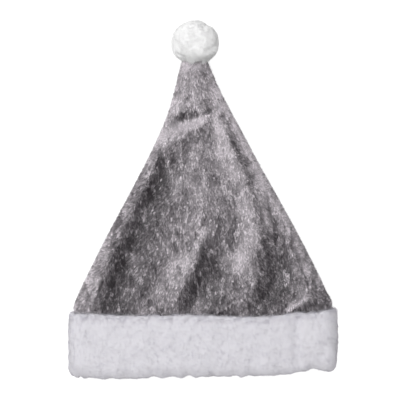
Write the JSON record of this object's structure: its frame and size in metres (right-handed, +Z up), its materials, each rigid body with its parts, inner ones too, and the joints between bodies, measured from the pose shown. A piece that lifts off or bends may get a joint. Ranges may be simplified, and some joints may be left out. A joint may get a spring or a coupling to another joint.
{
  "type": "santa hat",
  "caption": "Plush santa hat lying flat: a hollow silver-grey crown of sewn panels with soft folds, a thick white plush cuff round the head opening, and a white pompom on the tip.",
  "frame": {"origin": "middle of the hat's outline on the surface that it lies on", "axes": "+Z up from that surface, +Y from the cuff's mouth towards the tip, +X across the hat to the right of its front"},
  "size_m": [0.2999, 0.3976, 0.049],
  "materials": {
    "crown_plush": "silver-grey plush with a short glossy pile",
    "cuff_plush": "white plush with a dense matt pile",
    "pompom_plush": "white plush with a dense matt pile"
  },
  "bodies": {
    "root": {"crown_front": "crown_plush", "crown_back": "crown_plush", "cuff": "cuff_plush", "pompom": "pompom_plush"}
  },
  "joints": []
}
